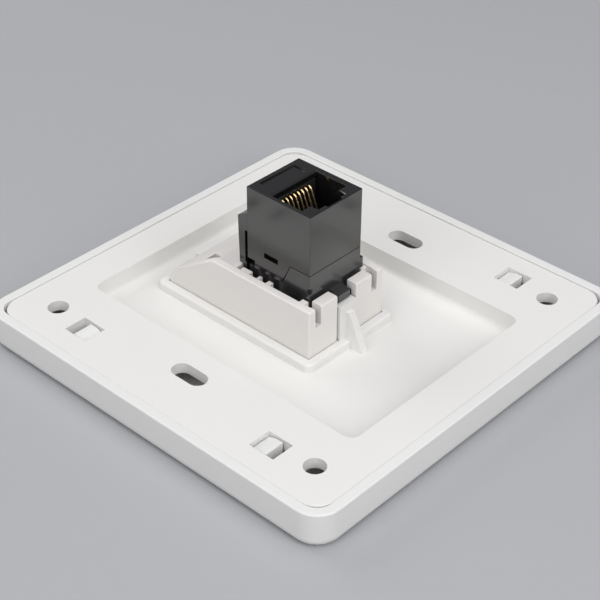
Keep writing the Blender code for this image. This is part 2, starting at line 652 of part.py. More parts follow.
def build_carrier():
    low_end = CARRIER_X_MIN
    outline = [(low_end, 0.0), (CARRIER_X_MAX, 0.0), (CARRIER_X_MAX, CARRIER_TOP)]
    outline += [(low_end + run, slope_height(run)) for run, share in reversed(SLOPE_BREAKS)]
    carrier = outline_solid(
        "module_carrier", outline, -CARRIER_HALF, CARRIER_HALF, PARTS, WHITE, axis='Y')
    round_edges(carrier, CARRIER_EDGE_ROUND)

    inner_min = CARRIER_INNER_MIN
    inner_max = CARRIER_INNER_MAX
    ledge = slope_height(SLOPE_KNEE_RUN)
    hollow_outline = [
        (inner_min, CARRIER_FRONT),
        (inner_max, CARRIER_FRONT),
        (inner_max, CARRIER_TOP + OVERRUN),
        (ROOF_END, CARRIER_TOP + OVERRUN),
        (ROOF_END, ROOF_TOP - CARRIER_ROOF),
        (ROOF_END - ROOF_LEVEL, ROOF_TOP - CARRIER_ROOF),
        (LEDGE_END, ledge - CARRIER_ROOF),
        (low_end + SLOPE_KNEE_RUN, ledge - CARRIER_ROOF),
        (low_end + SLOPE_BREAK_RUN, slope_height(SLOPE_BREAK_RUN) - CARRIER_ROOF),
        (inner_min, slope_height(CARRIER_WALL) - CARRIER_ROOF),
    ]
    hollow = outline_solid(
        "carrier_hollow", hollow_outline, -CARRIER_INNER_HALF, CARRIER_INNER_HALF, CUTTERS, axis='Y')
    cut(carrier, hollow)
    sunk_outline = [
        (low_end + SLOPE_KNEE_RUN - OVERRUN, ledge),
        (LEDGE_END, ledge),
        (ROOF_END - ROOF_LEVEL, ROOF_TOP),
        (ROOF_END + OVERRUN, ROOF_TOP),
        (ROOF_END + OVERRUN, CARRIER_TOP + OVERRUN),
        (low_end + SLOPE_KNEE_RUN - OVERRUN, CARRIER_TOP + OVERRUN),
    ]
    cut(carrier, outline_solid(
        "sunk_roof", sunk_outline, -CARRIER_INNER_HALF, CARRIER_INNER_HALF, CUTTERS, axis='Y'))

    cut(carrier, block(
        "front_opening", (FRONT_OPENING_X_MIN, -FRONT_OPENING_HALF, -OVERRUN),
        (FRONT_OPENING_X_MAX, FRONT_OPENING_HALF, CARRIER_FRONT + OVERRUN), CUTTERS))

    for side in (-1, 1):
        tag = "_far" if side > 0 else "_near"
        rail_y = mirrored(RAIL_REACH, CARRIER_INNER_HALF + SINK, side)
        join(carrier, block(
            "rail" + tag, (inner_min - SINK, rail_y[0], RAIL_FRONT), (inner_max + SINK, rail_y[1], RAIL_REAR),
            CUTTERS))
        guide_y = mirrored(JACK_HALF + GAP, CARRIER_INNER_HALF + SINK, side)
        for number, (inset, length) in enumerate(GUIDE_RIBS):
            rib_max = inner_max - inset
            join(carrier, block(
                "guide_rib{}_{}".format(tag, number), (rib_max - length, guide_y[0], RAIL_REAR - SINK),
                (rib_max, guide_y[1], CARRIER_TOP - GUIDE_DROP), CUTTERS))
        hole_x = LEDGE_END - ROOF_LEDGE / 2
        hole_y = mirrored(ROOF_HOLE_REACH - ROOF_HOLE_WIDTH / 2, ROOF_HOLE_REACH + ROOF_HOLE_WIDTH / 2, side)
        cut(carrier, block(
            "roof_hole" + tag, (hole_x - ROOF_HOLE_LENGTH / 2, hole_y[0], RAIL_REAR + OVERRUN),
            (hole_x + ROOF_HOLE_LENGTH / 2, hole_y[1], CARRIER_TOP), CUTTERS))
        add_finger(carrier, side, tag)

    notch_half = TONGUE_HALF + GAP
    cut(carrier, block(
        "tongue_notch", (inner_max - FINGER_HEAD_LENGTH - OVERRUN, -notch_half, PLINTH_TOP),
        (CARRIER_X_MAX + OVERRUN, notch_half, CARRIER_TOP + OVERRUN), CUTTERS))

    seat_outline = [
        (inner_min - SINK, CARRIER_FRONT - SINK),
        (SPRING_SEAT_X, CARRIER_FRONT - SINK),
        (SPRING_SEAT_X, slope_height(SPRING_SEAT) - CARRIER_ROOF / 2),
        (inner_min - SINK, slope_height(CARRIER_WALL - SINK) - CARRIER_ROOF / 2),
    ]
    seat_half = REAR_TONGUE_HALF + CARRIER_WALL
    join(carrier, outline_solid("spring_seat_wall", seat_outline, -seat_half, seat_half, CUTTERS, axis='Y'))
    rear_half = REAR_TONGUE_HALF + GAP
    cut(carrier, block(
        "rear_tongue_notch", (low_end - OVERRUN, -rear_half, PLINTH_TOP),
        (low_end + REAR_TONGUE_THICK + REAR_TONGUE_CLEARANCE, rear_half, CARRIER_TOP), CUTTERS))
    return carrier


def add_finger(carrier, side, tag):
    """One snap finger in the wall at +X: a slit frees it and its head reaches inwards."""
    slit_y = mirrored(FINGER_OUTER, FINGER_OUTER + FINGER_SLIT, side)
    cut(carrier, block(
        "finger_slit" + tag, (CARRIER_INNER_MAX - OVERRUN / 2, slit_y[0], CARRIER_TOP - FINGER_SLIT_DEPTH),
        (CARRIER_X_MAX + OVERRUN, slit_y[1], CARRIER_TOP + OVERRUN), CUTTERS))
    head_y = mirrored(TONGUE_HALF, FINGER_OUTER, side)
    head = block(
        "finger_head" + tag,
        (CARRIER_INNER_MAX - FINGER_HEAD_LENGTH, head_y[0], CARRIER_TOP - FINGER_HEAD_HEIGHT),
        (CARRIER_INNER_MAX + SINK, head_y[1], CARRIER_TOP), CUTTERS)
    join(carrier, head)


def build_shutter():
    half = CARRIER_INNER_HALF - GAP
    shutter = block(
        "dust_shutter", (SHUTTER_X_MIN, -half, SHUTTER_FRONT), (SHUTTER_X_MAX, half, SHUTTER_REAR),
        PARTS, WHITE)
    round_edges(shutter, GAP / 2)
    lug = block(
        "shutter_lug", (SHUTTER_X_MIN, -SHUTTER_LUG_HALF, SHUTTER_REAR - SINK),
        (SHUTTER_X_MIN + SHUTTER_LUG, SHUTTER_LUG_HALF, SHUTTER_REAR + SHUTTER_LUG_RISE), CUTTERS)
    join(shutter, lug)
    peg_centre = (SHUTTER_X_MIN + SINK - (SHUTTER_PEG_LENGTH + SINK) / 2, 0.0, SPRING_AXIS)
    peg = cylinder(
        "spring_peg", peg_centre, SHUTTER_PEG, SHUTTER_PEG_LENGTH + SINK, CUTTERS, axis='X', sides=PEG_SIDES)
    join(shutter, peg)
    grip_x = SHUTTER_X_MAX - SHUTTER_GRIP_INSET
    grip = block(
        "shutter_grip", (grip_x - SHUTTER_GRIP, -SHUTTER_GRIP_HALF, SHUTTER_FRONT - SHUTTER_GRIP_RISE),
        (grip_x, SHUTTER_GRIP_HALF, SHUTTER_FRONT + SINK), CUTTERS)
    join(shutter, grip)
    return shutter


def build_spring():
    """Compression spring along X between the shutter's lug and the carrier's low end."""
    start = SPRING_SEAT_X + GAP + SPRING_WIRE
    end = SHUTTER_X_MIN - GAP - SPRING_WIRE
    steps = int(SPRING_TURNS * COIL_STEPS)
    path = []
    for step in range(steps + 1):
        share = step / steps
        angle = 2 * math.pi * SPRING_TURNS * share
        path.append((
            start + (end - start) * share,
            SPRING_RADIUS * math.cos(angle),
            SPRING_AXIS + SPRING_RADIUS * math.sin(angle)))
    return wire("shutter_spring", path, SPRING_WIRE, STEEL)


def wire(name, path, radius, material):
    data = bpy.data.curves.new(name + "_path", 'CURVE')
    data.dimensions = '3D'
    data.bevel_depth = radius
    data.bevel_resolution = 2
    data.use_fill_caps = True
    spline = data.splines.new('POLY')
    spline.points.add(len(path) - 1)
    for point, place in zip(spline.points, path):
        point.co = (*place, 1.0)
    curve = bpy.data.objects.new(name + "_path", data)
    bpy.context.scene.collection.objects.link(curve)
    item = curve_to_mesh(curve, name, PARTS, material)
    shade(item)
    return item


def port_outline(grow=0.0):
    """The plug's outline: a wide body and the first step of its clip's notch."""
    notch = PORT_X_MAX + PORT_NOTCH_DEPTH
    half_outline = [
        (PORT_X_MIN - grow, PORT_HALF + grow),
        (PORT_X_MAX + grow, PORT_HALF + grow),
        (PORT_X_MAX + grow, PORT_NOTCH_HALF + grow),
        (notch + grow, PORT_NOTCH_HALF + grow),
    ]
    return half_outline + [(across, -up) for across, up in reversed(half_outline)]


def jack_hollow(name, face, inward):
    """The hollow of a housing, from under its port wall out past its open end."""
    near = face + inward * JACK_FACE
    far = face + inward * (JACK_LENGTH - JACK_FACE)
    return block(
        name, (JACK_X_MIN + JACK_WALL, -JACK_HALF + JACK_WALL, min(near, far)),
        (JACK_X_MAX - JACK_WALL, JACK_HALF - JACK_WALL, max(near, far)), CUTTERS)


def cut_port(housing, name, face, outward):
    """Opens a port: the plug's outline, the clip's deep notch and a chamfer round the mouth."""
    inside = face - outward * (JACK_FACE + OVERRUN)
    outside = face + outward * OVERRUN
    low = min(inside, outside)
    high = max(inside, outside)
    cut(housing, outline_solid(name, port_outline(), low, high, CUTTERS))
    cut(housing, block(
        name + "_clip_notch", (PORT_X_MAX, -CLIP_NOTCH_HALF, low),
        (JACK_X_MAX - CLIP_NOTCH_WALL, CLIP_NOTCH_HALF, high), CUTTERS))
    chamfer_end = face - outward * (PORT_CHAMFER + SINK)
    mouth = outline_solid(
        name + "_mouth", port_outline(PORT_CHAMFER + SINK),
        min(chamfer_end, outside), max(chamfer_end, outside), CUTTERS)
    slope = PORT_CHAMFER + 2 * SINK
    round_rims(mouth, slope if outward > 0 else 0.0, slope if outward < 0 else 0.0, steps=1)
    cut(housing, mouth)


def build_rear_housing():
    seam = JACK_REAR - SEAM_DROP
    skirt = JACK_REAR - SKIRT_DROP
    outline = [
        (JACK_X_MIN, skirt),
        (SKIRT_X_LOW, skirt),
        (SKIRT_X_TOP, seam),
        (JACK_X_MAX, seam),
        (JACK_X_MAX, JACK_REAR),
        (JACK_X_MIN, JACK_REAR),
    ]
    housing = outline_solid(
        "jack_rear_housing", outline, -JACK_HALF, JACK_HALF, PARTS, BLACK, axis='Y')
    round_edges_above(housing, JACK_EDGE_ROUND, seam)
    cut(housing, block(
        "skirt_notch", (JACK_X_MIN - OVERRUN, -JACK_HALF - OVERRUN, skirt - OVERRUN),
        (JACK_X_MIN + SKIRT_NOTCH_LENGTH, JACK_HALF + OVERRUN, skirt + SKIRT_NOTCH_HEIGHT), CUTTERS))
    cut(housing, jack_hollow("rear_jack_hollow", JACK_REAR, -1))
    cut_port(housing, "rear_port", JACK_REAR, 1)
    cut(housing, block(
        "bare_panel", (PANEL_X_MIN, -PANEL_HALF, JACK_REAR - PANEL_DEPTH),
        (PANEL_X_MAX, PANEL_HALF, JACK_REAR + OVERRUN), CUTTERS))
    window_z = JACK_REAR - CATCH_WINDOW_DROP
    cut(housing, block(
        "catch_windows",
        (CATCH_WINDOW_X - CATCH_WINDOW_LENGTH / 2, -JACK_HALF - OVERRUN, window_z - CATCH_WINDOW_HEIGHT / 2),
        (CATCH_WINDOW_X + CATCH_WINDOW_LENGTH / 2, JACK_HALF + OVERRUN, window_z + CATCH_WINDOW_HEIGHT / 2),
        CUTTERS))
    join(housing, build_latch_arm())
    return housing


def build_latch_arm():
    """Flexible latch arm: it hangs from a root on the body and grips the roof's free edge."""
    top = JACK_REAR - ARM_TOP_DROP
    root = top - ARM_ROOT_HEIGHT
    neck = ROOF_END + GAP
    under = ROOF_TOP - CARRIER_ROOF - GAP
    bottom = under - ARM_FOOT_HEIGHT
    inner = JACK_X_MIN - ARM_SLOT
    outline = [
        (JACK_X_MIN + SINK, top + ARM_SHOULDER),
        (JACK_X_MIN - ARM_OUT_TOP, top),
        (JACK_X_MIN - ARM_OUT_LOW, ROOF_TOP + GAP),
        (neck, ROOF_TOP + GAP),
        (neck, under),
        (neck - ARM_FOOT, under),
        (neck - ARM_FOOT, under - ARM_FOOT_HEIGHT / 2),
        (neck, bottom),
        (JACK_X_MIN - GAP, bottom),
        (JACK_X_MIN - GAP, bottom + ARM_PAD_HEIGHT),
        (inner, bottom + ARM_PAD_HEIGHT),
        (inner, root),
        (JACK_X_MIN + SINK, root),
    ]
    return outline_solid("latch_arm", outline, -ARM_WIDTH / 2, ARM_WIDTH / 2, CUTTERS, axis='Y')


def build_front_housing():
    seam = JACK_REAR - SEAM_DROP - GAP
    skirt = JACK_REAR - SKIRT_DROP - GAP
    slope = (SKIRT_X_TOP - SKIRT_X_LOW) / (SKIRT_DROP - SEAM_DROP)
    aside = GAP * math.hypot(1.0, slope)
    outline = [
        (JACK_X_MIN, JACK_FRONT),
        (JACK_X_MAX, JACK_FRONT),
        (JACK_X_MAX, seam),
        (SKIRT_X_TOP + aside - slope * GAP, seam),
        (SKIRT_X_LOW + aside - slope * GAP, skirt),
        (JACK_X_MIN, skirt),
    ]
    housing = outline_solid(
        "jack_front_housing", outline, -JACK_HALF, JACK_HALF, PARTS, BLACK, axis='Y')
    round_edges(housing, JACK_EDGE_ROUND)
    for side in (-1, 1):
        pocket_y = mirrored(JACK_HALF - POCKET_DEPTH, JACK_HALF + OVERRUN, side)
        cut(housing, block(
            "side_pocket_{}".format("far" if side > 0 else "near"),
            (JACK_X_MIN - OVERRUN, pocket_y[0], JACK_FRONT + POCKET_FOOT),
            (POCKET_X_MAX, pocket_y[1], JACK_REAR - POCKET_DROP), CUTTERS))
    notch_z = JACK_REAR - CORNER_NOTCH_DROP
    cut(housing, block(
        "corner_notch", (JACK_X_MAX - CORNER_NOTCH, -JACK_HALF - OVERRUN, notch_z - CORNER_NOTCH_HEIGHT / 2),
        (JACK_X_MAX + OVERRUN, -JACK_HALF + CORNER_NOTCH, notch_z + CORNER_NOTCH_HEIGHT / 2), CUTTERS))
    lug_low = PLINTH_TOP + TONGUE_RISE + GAP
    lug_outline = [
        (JACK_X_MAX - SINK, lug_low),
        (JACK_X_MAX + LUG_OUT, lug_low),
        (JACK_X_MAX + LUG_OUT, lug_low + LUG_HEIGHT),
        (JACK_X_MAX - SINK, lug_low + LUG_ROOT_HEIGHT),
    ]
    join(housing, outline_solid("fixed_lug", lug_outline, -LUG_HALF, LUG_HALF, CUTTERS, axis='Y'))
    rib_z = JACK_REAR - SIDE_RIB_DROP
    join(housing, block(
        "side_rib", (JACK_X_MAX - SIDE_RIB_LENGTH, JACK_HALF - SINK, rib_z - SIDE_RIB_HEIGHT / 2),
        (JACK_X_MAX, JACK_HALF + SIDE_RIB_OUT, rib_z + SIDE_RIB_HEIGHT / 2), CUTTERS))
    cut(housing, jack_hollow("front_jack_hollow", JACK_FRONT, 1))
    cut_port(housing, "front_port", JACK_FRONT, -1)
    return housing


def build_insert(name, face, inward):
    """Contact insert behind one port: a floor on the board and a roofed comb for the eight contacts."""
    board_side = JACK_MIDDLE - inward * (BOARD_THICK / 2 + GAP)
    floor = board_side - inward * INSERT_FLOOR
    comb_end = face + inward * (JACK_FACE + GAP)
    x_min = JACK_X_MIN + JACK_WALL + GAP
    x_max = JACK_X_MAX - JACK_WALL - GAP
    half = JACK_HALF - JACK_WALL - GAP
    insert = block(
        name, (x_min, -half, min(board_side, floor)), (x_max, half, max(board_side, floor)), PARTS, INSERT)
    comb_low = floor + inward * SINK
    comb = block(
        name + "_comb", (x_min, -half, min(comb_low, comb_end)),
        (PORT_X_MIN - INSERT_FACE_GAP, half, max(comb_low, comb_end)), CUTTERS)
    join(insert, comb)
    slot_x = PORT_X_MIN - CONTACT_BACK - CONTACT_SLOT / 2
    slot_end = face + inward * (CONTACT_TOP_DROP - CONTACT_SLOT / 2)
    for number in range(CONTACT_COUNT):
        middle = contact_place(number)
        through = board_side + inward * OVERRUN
        cut(insert, block(
            "{}_slot_{}".format(name, number + 1),
            (slot_x, middle - CONTACT_SLOT / 2, min(slot_end, floor)),
            (PORT_X_MIN, middle + CONTACT_SLOT / 2, max(slot_end, floor)), CUTTERS))
        cut(insert, block(
            "{}_foot_{}".format(name, number + 1),
            (slot_x, middle - CONTACT_SLOT / 2, min(floor - inward * SINK, through)),
            (slot_x + CONTACT_SLOT, middle + CONTACT_SLOT / 2, max(floor - inward * SINK, through)), CUTTERS))
    return insert


def contact_place(number):
    return (number - (CONTACT_COUNT - 1) / 2) * CONTACT_PITCH


def build_contact(name, number, face, inward):
    """Sprung contact wire: up from the board, level to the port's edge and down into the port."""
    y = contact_place(number)
    upright = PORT_X_MIN - CONTACT_BACK
    foot = JACK_MIDDLE - inward * (BOARD_THICK / 2 + GAP)
    top = face + inward * CONTACT_TOP_DROP
    slope = math.radians(CONTACT_SLOPE)
    path = [(upright, y, foot)]
    for step in range(BEND_STEPS + 1):
        angle = math.pi / 2 * step / BEND_STEPS
        path.append((
            upright + CONTACT_BEND * (1 - math.cos(angle)), y,
            top + inward * CONTACT_BEND * (1 - math.sin(angle))))
    for step in range(BEND_STEPS + 1):
        angle = slope * step / BEND_STEPS
        path.append((
            PORT_X_MIN + CONTACT_TURN + CONTACT_BEND * math.sin(angle), y,
            top + inward * CONTACT_BEND * (1 - math.cos(angle))))
    tip = face + inward * CONTACT_TIP_DROP
    fall = abs(tip - path[-1][2])
    path.append((path[-1][0] + fall / math.tan(slope), y, tip))
    return wire(name, path, CONTACT_WIRE, GOLD)


def build_board():
    half = JACK_HALF - JACK_WALL - GAP
    return block(
        "coupler_board",
        (JACK_X_MIN + JACK_WALL + GAP, -half, JACK_MIDDLE - BOARD_THICK / 2),
        (JACK_X_MAX - JACK_WALL - GAP, half, JACK_MIDDLE + BOARD_THICK / 2), PARTS, BOARD)


def build_all():
    shade(build_cover())
    shade(build_base_plate())
    shade(build_carrier())
    build_shutter()
    build_spring()
    build_rear_housing()
    build_front_housing()
    build_board()
    build_insert("rear_contact_insert", JACK_REAR, -1)
    build_insert("front_contact_insert", JACK_FRONT, 1)
    for number in range(CONTACT_COUNT):
        build_contact("rear_contact_{}".format(number + 1), number, JACK_REAR, -1)
        build_contact("front_contact_{}".format(number + 1), number, JACK_FRONT, 1)


build_all()
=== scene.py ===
# %% [markdown]
# # A modular wall plate, seen from the rear
#
# The object is an 86 mm square wall plate that lies face down. A white carrier is snapped into its
# middle, and a black coupler jack is snapped into the carrier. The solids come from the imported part, in
# metres, with the plate's front face on z = 0. This script gives each of them its finish: rounded edges,
# plastic, metal, light and camera.

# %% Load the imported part
import math

import bmesh
import bpy
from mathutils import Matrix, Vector


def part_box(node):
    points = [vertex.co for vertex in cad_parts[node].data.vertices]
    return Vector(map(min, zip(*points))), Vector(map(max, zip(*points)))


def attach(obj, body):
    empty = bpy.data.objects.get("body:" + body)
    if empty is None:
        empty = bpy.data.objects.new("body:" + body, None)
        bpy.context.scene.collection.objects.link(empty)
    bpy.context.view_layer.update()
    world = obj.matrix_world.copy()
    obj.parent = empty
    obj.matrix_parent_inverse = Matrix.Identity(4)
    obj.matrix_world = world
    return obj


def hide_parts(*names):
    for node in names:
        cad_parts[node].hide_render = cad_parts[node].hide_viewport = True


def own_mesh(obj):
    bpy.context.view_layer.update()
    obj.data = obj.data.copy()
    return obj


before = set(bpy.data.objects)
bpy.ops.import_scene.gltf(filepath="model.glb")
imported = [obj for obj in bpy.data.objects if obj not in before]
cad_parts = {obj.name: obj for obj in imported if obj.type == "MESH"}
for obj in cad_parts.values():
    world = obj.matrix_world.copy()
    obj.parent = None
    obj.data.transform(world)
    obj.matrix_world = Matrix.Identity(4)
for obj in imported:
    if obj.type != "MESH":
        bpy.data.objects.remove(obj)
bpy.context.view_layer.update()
MM = 0.001

# %% [markdown]
# ## Camera
#
# A product photograph is taken with a long lens, so that upright edges stay nearly parallel. The place
# and the turn below were worked out from the plate's corners and holes in the picture. The lens is 94 mm
# on a sensor that is 36 mm wide.

# %% Camera
LENS = 94.01
SENSOR = 36.0
CAMERA_PLACE = (163.49 * MM, -178.66 * MM, 180.99 * MM)
CAMERA_TURN = (54.437, -0.323, 42.874)
NEAREST_SEEN = 10.0 * MM

camera_data = bpy.data.cameras.new("photo_camera")
camera_data.lens = LENS
camera_data.sensor_width = SENSOR
camera_data.clip_start = NEAREST_SEEN
camera = bpy.data.objects.new("photo_camera", camera_data)
camera.location = CAMERA_PLACE
camera.rotation_euler = [math.radians(angle) for angle in CAMERA_TURN]
bpy.context.scene.collection.objects.link(camera)
bpy.context.scene.camera = camera
print("camera is", round(Vector(CAMERA_PLACE).length, 3), "m from the plate's centre")

# %% [markdown]
# ## Light
#
# White plastic shows its form by soft changes of grey. The light could be one bright lamp, but its
# shadows would be hard, so it is one wide softbox overhead and three smaller ones at the sides. The world
# is dim, and nothing bright stands low behind the plate, because the jack's glossy upper face would
# mirror it. Together they light a level surface so that its colour renders about as it is written.

# %% World and lamps
WORLD_GREY = (0.50, 0.50, 0.52, 1.0)
WORLD_STRENGTH = 0.38
SOFTBOXES = (
    # name, place in metres, width in metres, power in watts
    ("overhead_softbox", (0.18, -0.03, 0.85), 1.15, 4.4),
    ("right_softbox", (0.62, -0.06, 0.42), 0.55, 2.1),
    ("left_softbox", (0.04, -0.66, 0.40), 0.55, 1.7),
    ("far_left_softbox", (-0.62, -0.05, 0.46), 0.5, 1.4),
)

world = bpy.data.worlds.new("studio")
world.use_nodes = True
world.node_tree.nodes["Background"].inputs["Color"].default_value = WORLD_GREY
world.node_tree.nodes["Background"].inputs["Strength"].default_value = WORLD_STRENGTH
bpy.context.scene.world = world
bpy.context.scene.view_settings.view_transform = 'Standard'


def softbox(name, place, width, power):
    """Adds a round area lamp that faces the plate's centre."""
    data = bpy.data.lights.new(name, 'AREA')
    data.shape = 'DISK'
    data.size = width
    data.energy = power
    lamp = bpy.data.objects.new(name, data)
    lamp.location = place
    lamp.rotation_euler = (-Vector(place)).to_track_quat('-Z', 'Y').to_euler()
    bpy.context.scene.collection.objects.link(lamp)


for lamp_values in SOFTBOXES:
    softbox(*lamp_values)

# %% [markdown]
# ## Node maths
#
# A finish or a pattern is a small sum of masks, noises and lengths. One class wraps a node's output, so
# that a sum can be written as a Python expression and each operator adds its own Math node. It works in a
# shader and in Geometry Nodes alike, because both use the same Math node.


# %% A socket that can be added and multiplied
class Socket:
    """An output socket of a node tree, with Python's operators on it."""

    def __init__(self, tree, output):
        self.tree = tree
        self.output = output

    def math(self, operation, other=None, other_first=False):
        node = self.tree.nodes.new("ShaderNodeMath")
        node.operation = operation
        values = [other, self] if other_first else [self, other]
        for place, value in zip(node.inputs, values):
            if isinstance(value, Socket):
                self.tree.links.new(value.output, place)
            elif value is not None:
                place.default_value = value
        return Socket(self.tree, node.outputs[0])

    def __add__(self, other):
        return self.math('ADD', other)

    __radd__ = __add__

    def __mul__(self, other):
        return self.math('MULTIPLY', other)

    __rmul__ = __mul__

    def __sub__(self, other):
        return self.math('SUBTRACT', other)

    def __rsub__(self, other):
        return self.math('SUBTRACT', other, other_first=True)


# %% A node tree with one method for any node
class Tree:
    """A node tree under construction."""

    def __init__(self, tree):
        self.tree = tree

    def node(self, kind, settings=None, output=0, **sockets):
        """Adds a node of any kind: its settings first, then the values or links of its sockets."""
        node = self.tree.nodes.new(kind)
        for key, value in (settings or {}).items():
            setattr(node, key, value)
        for name, value in sockets.items():
            socket = node.inputs[name.replace("_", " ")]
            if isinstance(value, Socket):
                self.tree.links.new(value.output, socket)
            else:
                socket.default_value = value
        return Socket(self.tree, node.outputs[output])


# The Mix node has sockets of the same name for each data type, so its colour sockets are found by number.
MIX_FACTOR, MIX_LOW, MIX_HIGH, MIX_RESULT = 0, 6, 7, 2


class Finish(Tree):
    """A material: its shader, and the noises that vary it."""

    def __init__(self, name, color, roughness, metallic=0.0):
        self.material = bpy.data.materials.new(name)
        self.material.use_nodes = True
        super().__init__(self.material.node_tree)
        self.shader = self.tree.nodes["Principled BSDF"]
        self.set("Base Color", color)
        self.set("Roughness", roughness)
        self.set("Metallic", metallic)
        self.material.diffuse_color = (*color, 1.0)

    def set(self, name, value):
        socket = self.shader.inputs[name]
        if isinstance(value, Socket):
            self.tree.links.new(value.output, socket)
        elif isinstance(value, tuple):
            socket.default_value = (*value, 1.0)
        else:
            socket.default_value = value

    def noise(self, scale, detail=2.0, roughness=0.5):
        place = self.node("ShaderNodeTexCoord", output="Object")
        return self.node(
            "ShaderNodeTexNoise", output="Fac", Vector=place, Scale=scale, Detail=detail,
            Roughness=roughness)

    def mix(self, mask, low, high):
        node = self.tree.nodes.new("ShaderNodeMix")
        node.data_type = 'RGBA'
        self.tree.links.new(mask.output, node.inputs[MIX_FACTOR])
        node.inputs[MIX_LOW].default_value = (*low, 1.0)
        node.inputs[MIX_HIGH].default_value = (*high, 1.0)
        return Socket(self.tree, node.outputs[MIX_RESULT])

    def bump(self, height, strength, distance):
        self.set("Normal", self.node(
            "ShaderNodeBump", output="Normal", Height=height, Strength=strength, Distance=distance))


# %% [markdown]
# ## Plastics
#
# The white mouldings are satin. A mould polished with a fine abrasive leaves a faint grain, and the
# plastic sinks a little where it shrank, which gives slow waves. A picture could carry both, but it would
# need a place on each surface, so both are noises on Object coordinates. The slow one also mottles the
# colour by a hair, and together they vary the roughness and raise the bump. The jack's black plastic is
# glossier and denser, so its waves show as soft mottling in what it mirrors.

# %% A moulded plastic
WAVES_PER_METRE = 110.0
GRAINS_PER_METRE = 4200.0
GRAIN_CONTRAST = 0.6
ROUGHNESS_SPREAD = 0.08


def moulded_plastic(name, color, roughness, wave, grain, mottle=0.985):
    """Satin or gloss plastic: wave and grain are heights in millimetres, mottle is the darker share."""
    finish = Finish(name, color, roughness)
    slow = finish.noise(WAVES_PER_METRE, detail=2.0)
    fine = finish.noise(GRAINS_PER_METRE, detail=3.0, roughness=GRAIN_CONTRAST)
    finish.set("Base Color", finish.mix(slow, tuple(mottle * part for part in color), color))
    spread = slow * ROUGHNESS_SPREAD + fine * ROUGHNESS_SPREAD
    finish.set("Roughness", spread + (roughness - ROUGHNESS_SPREAD))
    finish.bump(slow * wave + fine * grain, strength=1.0, distance=1.0 * MM)
    return finish


cover_white = moulded_plastic(
    "white_cover_plastic", (0.80, 0.797, 0.787), roughness=0.40, wave=0.05, grain=0.004)
plate_white = moulded_plastic(
    "white_base_plate_plastic", (0.805, 0.797, 0.778), roughness=0.42, wave=0.05, grain=0.004)
carrier_white = moulded_plastic(
    "white_carrier_plastic", (0.82, 0.792, 0.768), roughness=0.38, wave=0.05, grain=0.004)
print("white plastics:", [material.name for material in bpy.data.materials])

# %% Black plastics
jack_black = moulded_plastic(
    "black_gloss_plastic", (0.009, 0.009, 0.010), roughness=0.14, wave=0.012, grain=0.0008, mottle=0.7)
jack_black.set("IOR", 1.9)
# The front housing is the same black plastic as the rear one, a little rougher. Its base colour is painted
# lighter than the rear housing's, as painted light for the brighter surroundings that its lower face
# mirrors.
jack_black_painted_lighter = moulded_plastic(
    "black_satin_plastic", (0.028, 0.028, 0.029), roughness=0.22, wave=0.015, grain=0.0008, mottle=0.8)
jack_black_painted_lighter.set("IOR", 1.85)
comb_black = moulded_plastic(
    "matt_comb_plastic", (0.016, 0.016, 0.018), roughness=0.42, wave=0.03, grain=0.004, mottle=0.7)
print("plastics:", len(bpy.data.materials))

# %% [markdown]
# ## Metals and board
#
# The contacts are springy wire with a thin layer of gold, drawn through a die and therefore very smooth.
# The spring is bare steel wire, with the fine streaks that drawing leaves. The board between the two
# sockets is covered with a black solder mask. A single colour would look like paint, so a fine noise
# varies each of them.

# %% Gold, steel and board
gold = Finish("gold_plated_wire", (0.95, 0.70, 0.30), roughness=0.2, metallic=1.0)
gold_wear = gold.noise(2600.0, detail=3.0)
gold.set("Base Color", gold.mix(gold_wear, low=(0.92, 0.66, 0.28), high=(1.0, 0.80, 0.45)))
gold.set("Roughness", gold_wear * 0.16 + 0.18)
gold.bump(gold_wear, strength=0.2, distance=0.01 * MM)

steel = Finish("spring_wire_steel", (0.62, 0.62, 0.63), roughness=0.28, metallic=1.0)
steel_streaks = steel.noise(2500.0, detail=4.0)
steel.set("Base Color", steel.mix(steel_streaks, low=(0.50, 0.50, 0.51), high=(0.68, 0.68, 0.69)))
steel.set("Roughness", steel_streaks * 0.18 + 0.18)

board_mask = Finish("black_solder_mask", (0.012, 0.014, 0.012), roughness=0.35)
mask_ripple = board_mask.noise(1500.0, detail=2.0)
board_mask.set("Roughness", mask_ripple * 0.2 + 0.25)
board_mask.bump(mask_ripple, strength=0.3, distance=0.05 * MM)
print("finishes:", len(bpy.data.materials))

# %% [markdown]
# ## Floor
#
# The plate lies on the grey paper of a product photograph, which fills the frame. It could be a curved
# backdrop, but the picture shows no horizon, so one large flat sheet is enough. Its far parts, which no
# lamp here reaches, glow a little, so that the paper looks evenly lit from low angles too. The glow grows
# with the distance from the plate and starts outside the picture.

# %% Paper
GLOW_START = 0.25
GLOW_FULL = 1.2
GLOW_COLOR = (0.27, 0.273, 0.283)

paper = Finish("grey_paper_floor", (0.42, 0.425, 0.441), roughness=0.9)
paper_fibres = paper.noise(400.0, detail=4.0)
paper.set("Base Color", paper.mix(paper_fibres, low=(0.414, 0.419, 0.435), high=(0.426, 0.431, 0.447)))
paper.bump(paper_fibres, strength=0.15, distance=0.1 * MM)
paper_place = paper.node("ShaderNodeTexCoord", output="Object")
far_off = paper.node("ShaderNodeVectorMath", {"operation": 'LENGTH'}, output="Value", Vector=paper_place)
glow = paper.node(
    "ShaderNodeMapRange", {"interpolation_type": 'SMOOTHSTEP'}, Value=far_off, From_Min=GLOW_START,
    From_Max=GLOW_FULL, To_Min=0.0, To_Max=1.0)
paper.set("Emission Color", paper.mix(glow, low=(0.0, 0.0, 0.0), high=GLOW_COLOR))
paper.set("Emission Strength", 1.0)
print("the floor glows from", GLOW_START, "m outwards")

# %% Floor
FLOOR_REACH = 3000.0 * MM
FLOOR_DROP = 0.05 * MM
FLOOR_CELLS = 8

